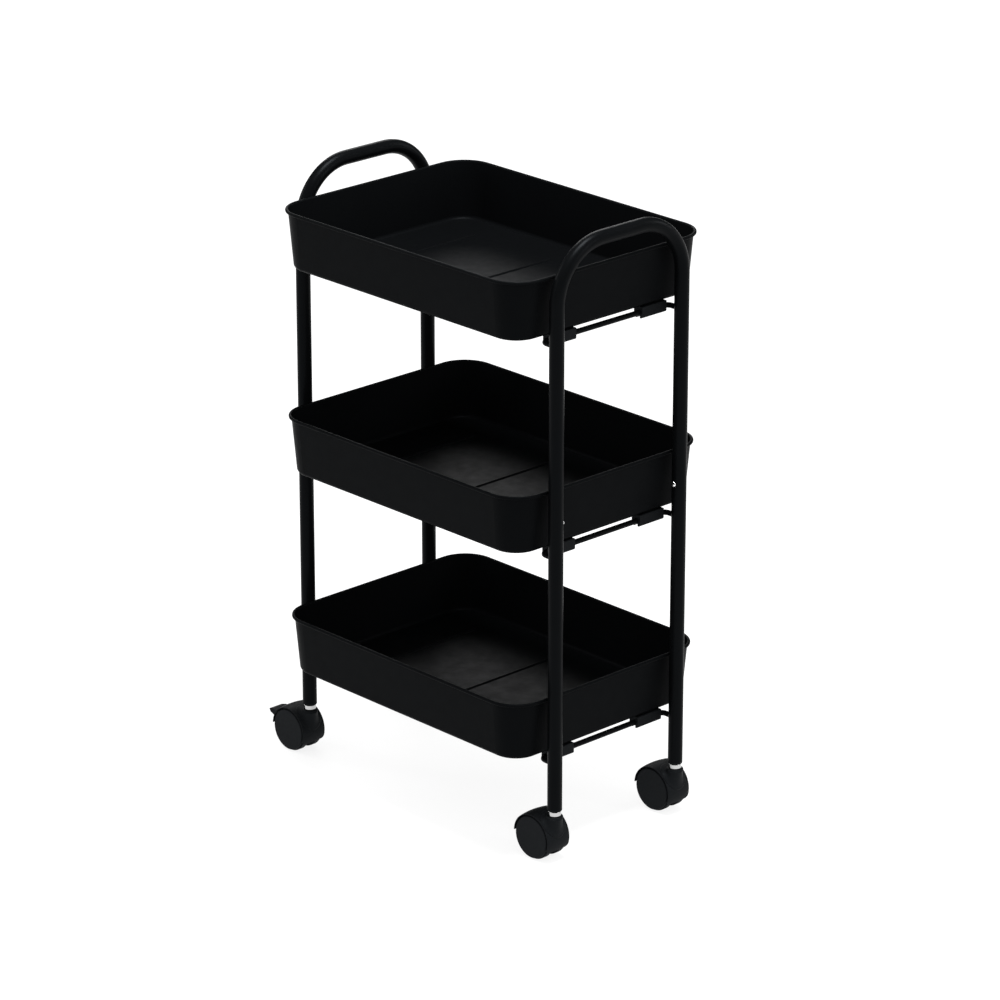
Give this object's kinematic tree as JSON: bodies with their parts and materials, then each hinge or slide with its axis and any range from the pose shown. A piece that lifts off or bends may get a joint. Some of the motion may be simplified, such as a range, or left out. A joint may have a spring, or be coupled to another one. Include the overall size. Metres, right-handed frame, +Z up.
{
  "type": "rolling shelf cart",
  "caption": "Tiered rolling shelf cart: pressed sheet trays on two tubular end frames with push handles, twin-wheel swivel casters and brake pedals.",
  "frame": {"origin": "on the floor, midway between the four posts", "axes": "+X along the cart towards one push handle, +Y across it, +Z up"},
  "size_m": [0.4641, 0.2846, 0.691],
  "materials": {
    "frame_paint": "satin black powder coat",
    "tray_paint": "satin black powder coat",
    "clip_nylon": "moulded black nylon",
    "socket_nylon": "moulded black nylon",
    "hood_nylon": "moulded black nylon, fine texture",
    "wheel_nylon": "moulded black nylon",
    "lever_nylon": "moulded black nylon",
    "collar_chrome": "polished",
    "stem_steel": "turned",
    "spring_steel": "rolled strip",
    "button_steel": "polished, nickel plated"
  },
  "bodies": {
    "frame": {"handle_frame_left": "frame_paint", "crossbar_top_left": "frame_paint", "crossbar_middle_left": "frame_paint", "crossbar_bottom_left": "frame_paint", "handle_frame_right": "frame_paint", "crossbar_top_right": "frame_paint", "crossbar_middle_right": "frame_paint", "crossbar_bottom_right": "frame_paint", "tray_top": "tray_paint", "tray_clips_top": "clip_nylon", "tray_middle": "tray_paint", "tray_clips_middle": "clip_nylon", "tray_bottom": "tray_paint", "tray_clips_bottom": "clip_nylon", "lower_post_left_front": "frame_paint", "lower_post_left_rear": "frame_paint", "lower_post_right_front": "frame_paint", "lower_post_right_rear": "frame_paint", "post_connectors": "stem_steel", "snap_springs": "spring_steel", "caster_sockets": "socket_nylon", "caster_stems": "stem_steel", "grip_rings": "spring_steel", "swivel_collars": "collar_chrome"},
    "button_left_front": {"snap_button_left_front": "button_steel"},
    "caster_left_front": {"caster_hood_left_front": "hood_nylon", "caster_axle_left_front": "stem_steel", "brake_pin_left_front": "stem_steel"},
    "wheel_outer_left_front_body": {"wheel_outer_left_front": "wheel_nylon"},
    "wheel_inner_left_front_body": {"wheel_inner_left_front": "wheel_nylon"},
    "brake_left_front": {"brake_lever_left_front": "lever_nylon"},
    "button_left_rear": {"snap_button_left_rear": "button_steel"},
    "caster_left_rear": {"caster_hood_left_rear": "hood_nylon", "caster_axle_left_rear": "stem_steel", "brake_pin_left_rear": "stem_steel"},
    "wheel_outer_left_rear_body": {"wheel_outer_left_rear": "wheel_nylon"},
    "wheel_inner_left_rear_body": {"wheel_inner_left_rear": "wheel_nylon"},
    "brake_left_rear": {"brake_lever_left_rear": "lever_nylon"},
    "button_right_front": {"snap_button_right_front": "button_steel"},
    "caster_right_front": {"caster_hood_right_front": "hood_nylon", "caster_axle_right_front": "stem_steel"},
    "wheel_outer_right_front_body": {"wheel_outer_right_front": "wheel_nylon"},
    "wheel_inner_right_front_body": {"wheel_inner_right_front": "wheel_nylon"},
    "button_right_rear": {"snap_button_right_rear": "button_steel"},
    "caster_right_rear": {"caster_hood_right_rear": "hood_nylon", "caster_axle_right_rear": "stem_steel"},
    "wheel_outer_right_rear_body": {"wheel_outer_right_rear": "wheel_nylon"},
    "wheel_inner_right_rear_body": {"wheel_inner_right_rear": "wheel_nylon"}
  },
  "joints": [
    {"name": "button_push_left_front", "type": "slide", "parent": "frame", "child": "button_left_front", "axis": [0, -1, 0], "range_m": [0, 0.0038], "stiffness_N_per_m": 600},
    {"name": "swivel_left_front", "type": "hinge", "parent": "frame", "child": "caster_left_front", "pos_m": [-0.1978, -0.091, 0.04], "axis": [0, 0, 1], "continuous": true},
    {"name": "roll_outer_left_front", "type": "hinge", "parent": "caster_left_front", "child": "wheel_outer_left_front_body", "pos_m": [-0.2178, -0.091, 0.025], "axis": [0, 1, 0], "continuous": true},
    {"name": "roll_inner_left_front", "type": "hinge", "parent": "caster_left_front", "child": "wheel_inner_left_front_body", "pos_m": [-0.2178, -0.091, 0.025], "axis": [0, 1, 0], "continuous": true},
    {"name": "brake_press_left_front", "type": "hinge", "parent": "caster_left_front", "child": "brake_left_front", "pos_m": [-0.2363, -0.091, 0.0345], "axis": [0, -1, 0], "range_deg": [0, 16]},
    {"name": "button_push_left_rear", "type": "slide", "parent": "frame", "child": "button_left_rear", "axis": [0, 1, 0], "range_m": [0, 0.0038], "stiffness_N_per_m": 600},
    {"name": "swivel_left_rear", "type": "hinge", "parent": "frame", "child": "caster_left_rear", "pos_m": [-0.1978, 0.091, 0.04], "axis": [0, 0, 1], "continuous": true},
    {"name": "roll_outer_left_rear", "type": "hinge", "parent": "caster_left_rear", "child": "wheel_outer_left_rear_body", "pos_m": [-0.2178, 0.091, 0.025], "axis": [0, 1, 0], "continuous": true},
    {"name": "roll_inner_left_rear", "type": "hinge", "parent": "caster_left_rear", "child": "wheel_inner_left_rear_body", "pos_m": [-0.2178, 0.091, 0.025], "axis": [0, 1, 0], "continuous": true},
    {"name": "brake_press_left_rear", "type": "hinge", "parent": "caster_left_rear", "child": "brake_left_rear", "pos_m": [-0.2363, 0.091, 0.0345], "axis": [0, -1, 0], "range_deg": [0, 16]},
    {"name": "button_push_right_front", "type": "slide", "parent": "frame", "child": "button_right_front", "axis": [0, -1, 0], "range_m": [0, 0.0038], "stiffness_N_per_m": 600},
    {"name": "swivel_right_front", "type": "hinge", "parent": "frame", "child": "caster_right_front", "pos_m": [0.1978, -0.091, 0.04], "axis": [0, 0, 1], "continuous": true},
    {"name": "roll_outer_right_front", "type": "hinge", "parent": "caster_right_front", "child": "wheel_outer_right_front_body", "pos_m": [0.1778, -0.091, 0.025], "axis": [0, 1, 0], "continuous": true},
    {"name": "roll_inner_right_front", "type": "hinge", "parent": "caster_right_front", "child": "wheel_inner_right_front_body", "pos_m": [0.1778, -0.091, 0.025], "axis": [0, 1, 0], "continuous": true},
    {"name": "button_push_right_rear", "type": "slide", "parent": "frame", "child": "button_right_rear", "axis": [0, 1, 0], "range_m": [0, 0.0038], "stiffness_N_per_m": 600},
    {"name": "swivel_right_rear", "type": "hinge", "parent": "frame", "child": "caster_right_rear", "pos_m": [0.1978, 0.091, 0.04], "axis": [0, 0, 1], "continuous": true},
    {"name": "roll_outer_right_rear", "type": "hinge", "parent": "caster_right_rear", "child": "wheel_outer_right_rear_body", "pos_m": [0.1778, 0.091, 0.025], "axis": [0, 1, 0], "continuous": true},
    {"name": "roll_inner_right_rear", "type": "hinge", "parent": "caster_right_rear", "child": "wheel_inner_right_rear_body", "pos_m": [0.1778, 0.091, 0.025], "axis": [0, 1, 0], "continuous": true}
  ]
}
